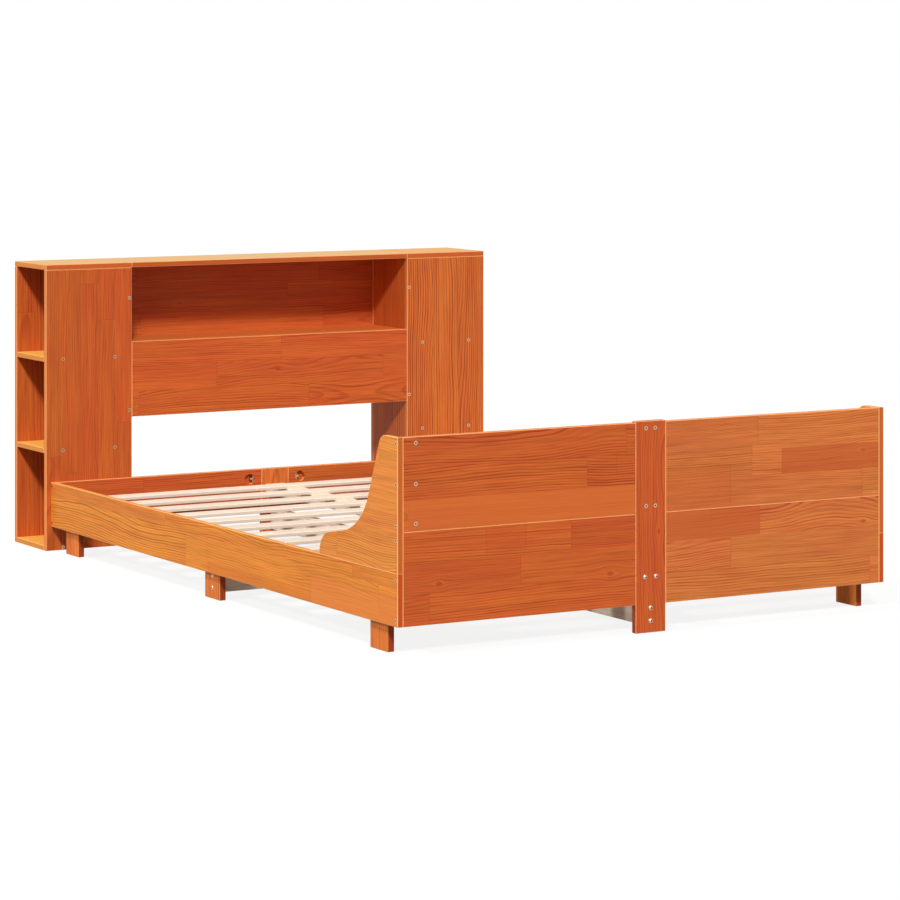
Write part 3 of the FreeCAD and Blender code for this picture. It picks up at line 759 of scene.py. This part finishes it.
@dataclass(frozen=True)
class Beech:
    """Untreated beech dowel rod: pale pinkish wood with short darker flecks.

    Sizes are in millimetres.
    """

    ground: str = "#D8B48C"
    fleck: str = "#A87848"
    fleck_size: float = 1.2
    fleck_octaves: float = 2.0
    fleck_range: tuple[float, float] = (0.5, 0.7)
    roughness: float = 0.6

    def material(self) -> bpy.types.Material:
        """Makes the finish that all dowels share.

        Returns:
            The shared material.
        """
        made = bpy.data.materials.new("beech")
        tree = empty_tree(made)
        place = add_node(tree, "ShaderNodeTexCoord")["Object"]
        flecks = add_node(tree, "ShaderNodeTexNoise",
                          {"Vector": place, "Scale": MM_PER_METRE / self.fleck_size,
                           "Detail": self.fleck_octaves})[0]
        amount = add_node(tree, "ShaderNodeMapRange",
                          {"Value": flecks, "From Min": self.fleck_range[0],
                           "From Max": self.fleck_range[1]})[0]
        colour = add_node(tree, "ShaderNodeMix",
                          {MIX_FACTOR: amount, MIX_A: linear(self.ground),
                           MIX_B: linear(self.fleck)}, data_type="RGBA")[MIX_RESULT]
        shader = add_node(tree, "ShaderNodeBsdfPrincipled",
                          {"Base Color": colour, "Roughness": self.roughness})[0]
        add_node(tree, "ShaderNodeOutputMaterial", {"Surface": shader})
        return made


def give_finish(node: str, material: bpy.types.Material) -> None:
    """Puts a material into every slot of a CAD node.

    Args:
        node: Name of the node.
        material: Its finish.
    """
    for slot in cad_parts[node].material_slots:
        slot.link = "OBJECT"
        slot.material = material


@dataclass
class Joinery:
    """A sub-assembly of boards, each dressed in its own piece of pine."""

    pine: PineFinish

    def boards(self) -> list[Board]:
        """Lists the sub-assembly's boards, which each kind gives for itself.

        Returns:
            The boards, with their cuts and stains.
        """
        raise NotImplementedError

    def dress(self) -> list[str]:
        """Gives each board its finish.

        Returns:
            Names of the dressed nodes.
        """
        boards = self.boards()
        for board in boards:
            give_finish(board.node, self.pine.material(board))
        return [board.node for board in boards]


@dataclass
class Headboard(Joinery):
    """Bookcase headboard: two columns, and the niche and plank between them."""

    left_growth: Growth = Growth(stave_width=54.2, stave_length=610.0)
    right_growth: Growth = Growth(stave_width=90.4, stave_length=1400.0, ring_spacing=8.0,
                                  ring_wave=4.0, late_strength=1.15)
    plank_growth: Growth = Growth(stave_width=73.0, stave_length=560.0)
    back_growth: Growth = Growth(stave_width=77.0, stave_length=620.0)
    shelf_growth: Growth = Growth(stave_width=58.0, stave_length=700.0)
    side_growth: Growth = Growth(stave_width=67.0, stave_length=900.0, ring_spacing=7.0)
    right_ledge: Stain = replace(LEDGE, painted_top_light="#D8A25A")
    front_seeds: tuple[float, float] = (3.0, 114.0)
    back_seed: float = 5.0
    side_seed: float = 7.0
    shelf_seed: float = 41.0

    def boards(self) -> list[Board]:
        """Lists the headboard's boards.

        Returns:
            The boards, with their cuts and stains.
        """
        boards = []
        looks = ((CHERRY, self.left_growth, LEDGE), (COPPER, self.right_growth, self.right_ledge))
        for number, (side, (front, growth, ledge)) in enumerate(zip(SIDES, looks)):
            boards.append(Board(f"column_front_{side}", Axis.Z, Axis.X, front, growth,
                                self.front_seeds[number]))
            boards.append(Board(f"column_back_{side}", Axis.Z, Axis.X, RUSSET, self.side_growth,
                                self.back_seed + number))
            boards.append(Board(f"column_side_{side}", Axis.Z, Axis.Y, SHADE, self.side_growth,
                                self.side_seed + number))
            for name in ("top", "bottom", "shelf_lower", "shelf_upper"):
                stain = ledge if name == "top" else SHELF
                boards.append(Board(f"column_{name}_{side}", Axis.Y, Axis.X, stain,
                                    self.shelf_growth, self.shelf_seed + len(boards),
                                    edge_shading_share=0.8, top_light_share=0.9))
        boards.append(Board("niche_top", Axis.X, Axis.Y, LEDGE, self.shelf_growth, seed=61.0,
                            edge_shading_share=0.1, top_light_share=0.9))
        boards.append(Board("niche_floor", Axis.X, Axis.Y, NICHE, self.shelf_growth, seed=62.0,
                            top_light_share=0.6))
        boards.append(Board("niche_back", Axis.X, Axis.Z, BACK, self.back_growth, seed=173.0,
                            knots=(Knot(262.0, 103.0, 4.0),)))
        boards.append(Board("headboard_plank", Axis.X, Axis.Z, RUSSET, self.plank_growth,
                            seed=174.0, knots=(Knot(478.0, 118.0, 5.0),)))
        return boards


@dataclass
class SideFrames(Joinery):
    """Rail, wing and legs on each side of the bed."""

    rail_growth: Growth = Growth(stave_width=92.0, stave_length=1060.0, ring_spacing=4.6,
                                 late_strength=1.0)
    wing_growth: Growth = Growth(stave_width=84.0, stave_length=640.0, late_strength=0.9)
    leg_growth: Growth = Growth(stave_width=90.0, stave_length=400.0, ring_spacing=6.5,
                                late_strength=1.0)
    left_rail_staves: tuple[OddStave, ...] = (
        OddStave((-20.0, 1020.0), (-20.0, 160.0), HONEY_PAINTED_LIGHT.early, 0.0),
        OddStave((440.0, 1020.0), (-20.0, 30.0), "#CC6420", 0.4),
        OddStave((-20.0, 440.0), (-20.0, 68.0), "#DC7A38", 0.55),
    )
    rail_seed: float = 11.0
    wing_seed: float = 213.0
    leg_seed: float = 17.0

    def boards(self) -> list[Board]:
        """Lists the side boards.

        Returns:
            The boards, with their cuts and stains.
        """
        boards = []
        stain = replace(HONEY_PAINTED_LIGHT, end_grain=RAIL_END)
        for number, (side, staves) in enumerate(zip(SIDES, (self.left_rail_staves, ()))):
            boards.append(Board(f"side_rail_{side}", Axis.Y, Axis.Z, stain, self.rail_growth,
                                self.rail_seed + number, odd_staves=staves))
            boards.append(Board(f"foot_wing_{side}", Axis.Y, Axis.Z, WING_PAINTED_LIGHT, self.wing_growth,
                                self.wing_seed + number))
            for place in ("head", "mid", "foot"):
                # The legs' narrow faces carry painted shade.
                boards.append(Board(f"leg_{place}_{side}", Axis.Z, Axis.Y, LEG_PAINTED_LIGHT_AND_SHADE, self.leg_growth,
                                    self.leg_seed + len(boards), edge_shading_share=0.85))
        return boards


@dataclass(frozen=True)
class PlankCut:
    """What tells one foot plank from the next."""

    seed: float
    late_strength: float = 0.75
    knots: tuple[Knot, ...] = ()
    odd_staves: tuple[OddStave, ...] = ()


@dataclass
class FootEnd(Joinery):
    """Tall foot end: four planks, the post between them and the battens behind."""

    plank_growth: Growth = Growth(stave_width=75.0, stave_length=640.0)
    post_growth: Growth = Growth(stave_width=90.0, stave_length=700.0, ring_spacing=6.0)
    lower_left: PlankCut = PlankCut(
        123.0, knots=(Knot(98.0, 96.0, 6.0), Knot(583.0, 84.0, 7.0)),
        odd_staves=(OddStave((229.0, 341.0), (160.0, 240.0), "#BE5020", 0.35),))
    upper_left: PlankCut = PlankCut(
        24.0, late_strength=1.4,
        odd_staves=(OddStave((600.0, 700.0), (100.0, 155.0), "#BC5222", 0.4),
                    OddStave((-20.0, 720.0), (-20.0, 75.0), "#D56F2F", 0.6)))
    lower_right: PlankCut = PlankCut(
        127.0, knots=(Knot(608.0, 162.0, 5.0),),
        odd_staves=(OddStave((-20.0, 284.0), (152.0, 240.0), "#BC5526", 0.7),))
    upper_right: PlankCut = PlankCut(
        128.0, knots=(Knot(606.0, 120.0, 6.0),),
        odd_staves=(OddStave((352.0, 700.0), (74.0, 137.0), "#B44A1E", 0.55),
                    OddStave((-20.0, 195.0), (-20.0, 104.0), "#C05826", 0.35)))
    batten_seed: float = 31.0

    def boards(self) -> list[Board]:
        """Lists the foot end's boards.

        Returns:
            The boards, with their cuts and stains.
        """
        boards = []
        looks = ((RUSSET, self.lower_left, self.upper_left),
                 (AMBER, self.lower_right, self.upper_right))
        for number, (side, (stain, lower, upper)) in enumerate(zip(SIDES, looks)):
            for level, cut in (("lower", lower), ("upper", upper)):
                growth = replace(self.plank_growth, late_strength=cut.late_strength)
                boards.append(Board(f"foot_plank_{level}_{side}", Axis.X, Axis.Z, stain, growth,
                                    cut.seed, knots=cut.knots, odd_staves=cut.odd_staves))
            boards.append(Board(f"corner_batten_{side}", Axis.Z, Axis.X, stain, self.post_growth,
                                self.batten_seed + number))
        boards.append(Board("foot_post", Axis.Z, Axis.X, RUSSET, self.post_growth, seed=33.0,
                            edge_shading_share=0.0, knots=(Knot(248.0, 68.0, 5.0),)))
        boards.append(Board("foot_batten", Axis.Z, Axis.X, RUSSET, self.post_growth, seed=34.0))
        return boards


@dataclass
class HeadRails(Joinery):
    """Two half rails and the post at the head of the mattress well."""

    rail_growth: Growth = Growth(stave_width=64.0, stave_length=900.0, ring_spacing=6.0)
    post_growth: Growth = Growth(stave_width=90.0, stave_length=400.0)
    rail_seed: float = 36.0

    def boards(self) -> list[Board]:
        """Lists the head rail's boards.

        Returns:
            The boards, with their cuts and stains.
        """
        boards = [Board("head_post", Axis.Z, Axis.X, COPPER, self.post_growth, seed=35.0)]
        for number, side in enumerate(SIDES):
            boards.append(Board(f"head_rail_{side}", Axis.X, Axis.Z, RUSSET, self.rail_growth,
                                self.rail_seed + number))
        return boards


@dataclass
class SlatBase(Joinery):
    """Unstained slats with the cleats and beams that carry them."""

    slat_growth: Growth = Growth(stave_width=149.92, stave_length=2400.0, ring_spacing=6.0,
                                 ring_wave=3.0, late_strength=0.45)
    beam_growth: Growth = Growth(stave_width=61.0, stave_length=2400.0, late_strength=0.6)
    beam_seed: float = 55.0
    cleat_seed: float = 57.0

    def boards(self) -> list[Board]:
        """Lists the slat base's boards.

        Returns:
            The boards, with their cuts, all unstained.
        """
        boards = [
            Board("slats", Axis.X, Axis.Y, PALE, self.slat_growth, seed=51.0),
            Board("cross_beam", Axis.X, Axis.Z, PALE, self.beam_growth, seed=52.0),
            Board("beam_strut", Axis.Z, Axis.X, PALE, self.beam_growth, seed=53.0),
            Board("slat_beam", Axis.Y, Axis.X, PALE, self.beam_growth, seed=54.0),
        ]
        for number, (place, side) in enumerate(zip(("head", "foot"), SIDES)):
            for node, seed in ((f"floor_beam_{place}", self.beam_seed),
                               (f"slat_cleat_{side}", self.cleat_seed)):
                boards.append(Board(node, Axis.Y, Axis.Z, PALE, self.beam_growth, seed + number))
        return boards


@dataclass
class Fasteners:
    """Screws, bolts, nuts and dowels."""

    steel: tuple[str, ...] = (
        "headboard_screws", "back_panel_screws", "bed_screws", "leg_screws", "plank_screws",
        "slat_screws", "frame_bolts", "barrel_nuts", "rail_bolts", "saddle_washers",
        "headboard_bolts", "headboard_nuts")
    wood: tuple[str, ...] = ("dowels",)

    def dress(self) -> list[str]:
        """Gives the steel its zinc plate and the dowels their beech.

        Returns:
            Names of the dressed nodes.
        """
        for nodes, finish in ((self.steel, ZincSteel()), (self.wood, Beech())):
            material = finish.material()
            for node in nodes:
                give_finish(node, material)
        return [*self.steel, *self.wood]


@dataclass
class Studio:
    """Pale floor, soft daylight and the photograph's viewpoint.

    Lengths are in metres, apart from the lens in millimetres. Turns are in degrees.
    """

    floor_radius: float = 30.0
    floor_drop: float = 0.0005
    floor_corners: int = 96
    floor_paint: str = "#F8F8F8"
    floor_bounce: str = "#949494"
    whiteness: float = 0.85
    camera_place: tuple[float, float, float] = (-4.6963, -8.2742, 1.4169)
    camera_turn: float = 30.0585
    lens: float = 138.194
    view_depth: float = 200.0
    shift: tuple[float, float] = (-0.00255, -0.43493)
    key_from: tuple[float, float, float] = (-0.51, -1.0, 0.84)
    key_strength: float = 2.74
    side_from: tuple[float, float, float] = (-1.0, 0.0, 0.7)
    side_strength: float = 1.22
    lamp_softness: float = 6.0
    ambient: float = 0.455
    overhead: float = 0.5

    def build(self) -> None:
        """Makes the floor, the lights and the camera."""
        self._floor()
        self._world()
        self._sun("key", self.key_from, self.key_strength)
        self._sun("side", self.side_from, self.side_strength)
        self._camera()

    def _seen(self, tree: bpy.types.NodeTree) -> bpy.types.NodeSocket:
        """Tells which rays see the plain white background.

        Args:
            tree: Node tree that takes the nodes.

        Returns:
            1 for camera, glossy and transmission rays, and otherwise 0.
        """
        path = add_node(tree, "ShaderNodeLightPath")
        seen = add_node(tree, "ShaderNodeMath",
                        {0: path["Is Camera Ray"], 1: path["Is Glossy Ray"]},
                        operation="MAXIMUM")[0]
        return add_node(tree, "ShaderNodeMath", {0: seen, 1: path["Is Transmission Ray"]},
                        operation="MAXIMUM")[0]

    def _floor(self) -> None:
        """Makes a round white floor that keeps a faint shadow."""
        mesh = bpy.data.meshes.new("floor")
        shape = bmesh.new()
        bmesh.ops.create_circle(shape, cap_ends=True, radius=self.floor_radius,
                                segments=self.floor_corners)
        bmesh.ops.translate(shape, verts=shape.verts, vec=(0, 0, -self.floor_drop))
        shape.to_mesh(mesh)
        shape.free()
        floor = bpy.data.objects.new("floor", mesh)
        bpy.context.scene.collection.objects.link(floor)
        made = bpy.data.materials.new("matt_white_paint")
        tree = empty_tree(made)
        eye = add_node(tree, "ShaderNodeLightPath")["Is Camera Ray"]
        paint = add_node(tree, "ShaderNodeMix",
                         {MIX_FACTOR: eye, MIX_A: linear(self.floor_bounce),
                          MIX_B: linear(self.floor_paint)}, data_type="RGBA")[MIX_RESULT]
        white = add_node(tree, "ShaderNodeBsdfDiffuse", {"Color": paint})[0]
        backdrop = add_node(tree, "ShaderNodeEmission", {"Color": WHITE, "Strength": 1.0})[0]
        share = add_node(tree, "ShaderNodeMath", {0: self._seen(tree), 1: self.whiteness},
                         operation="MULTIPLY")[0]
        mixed = add_node(tree, "ShaderNodeMixShader", {0: share, 1: white, 2: backdrop})[0]
        add_node(tree, "ShaderNodeOutputMaterial", {"Surface": mixed})
        mesh.materials.append(made)

    def _world(self) -> None:
        """Lights the scene from a soft white sky that is brightest overhead."""
        world = bpy.data.worlds.new("soft_daylight")
        bpy.context.scene.world = world
        tree = empty_tree(world)
        direction = add_node(tree, "ShaderNodeTexCoord")["Generated"]
        height = add_node(tree, "ShaderNodeSeparateXYZ", {0: direction})["Z"]
        level = add_node(tree, "ShaderNodeMapRange",
                         {"Value": height, "To Min": self.ambient, "To Max": self.overhead})[0]
        sky, white = (
            add_node(tree, "ShaderNodeBackground", {"Color": WHITE, "Strength": strength})[0]
            for strength in (level, 1.0))
        mixed = add_node(tree, "ShaderNodeMixShader", {0: self._seen(tree), 1: sky, 2: white})[0]
        add_node(tree, "ShaderNodeOutputWorld", {"Surface": mixed})

    def _sun(self, name: str, place: tuple[float, float, float], strength: float) -> None:
        """Adds one soft lamp that shines on the bed from far off.

        Args:
            name: Name of the lamp.
            place: Direction in which the lamp stands, seen from the bed.
            strength: Strength of the lamp.
        """
        lamp = bpy.data.lights.new(name, "SUN")
        lamp.energy = strength
        lamp.angle = math.radians(self.lamp_softness)
        holder = bpy.data.objects.new(name, lamp)
        holder.rotation_euler = Vector(place).to_track_quat("Z", "Y").to_euler()
        bpy.context.scene.collection.objects.link(holder)

    def _camera(self) -> None:
        """Puts the camera where the photograph's edges say it stood."""
        data = bpy.data.cameras.new("camera")
        data.lens = self.lens
        data.shift_x, data.shift_y = self.shift
        data.clip_end = self.view_depth
        camera = bpy.data.objects.new("camera", data)
        camera.location = self.camera_place
        camera.rotation_euler = (math.pi / 2, 0, -math.radians(self.camera_turn))
        bpy.context.scene.collection.objects.link(camera)
        bpy.context.scene.camera = camera
        bpy.context.scene.view_settings.view_transform = "Standard"


def main() -> None:
    """Builds the scene and dresses every piece of the bed."""
    logging.basicConfig(level=logging.INFO, format="%(message)s")
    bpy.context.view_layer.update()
    Studio().build()
    pine = PineFinish(PineTextures())
    joinery = [kind(pine) for kind in (Headboard, SideFrames, FootEnd, HeadRails, SlatBase)]
    for assembly in (*joinery, Fasteners()):
        for node in assembly.dress():
            log.info("%s: %s", type(assembly).__name__, node)


if __name__ == "__main__":
    main()
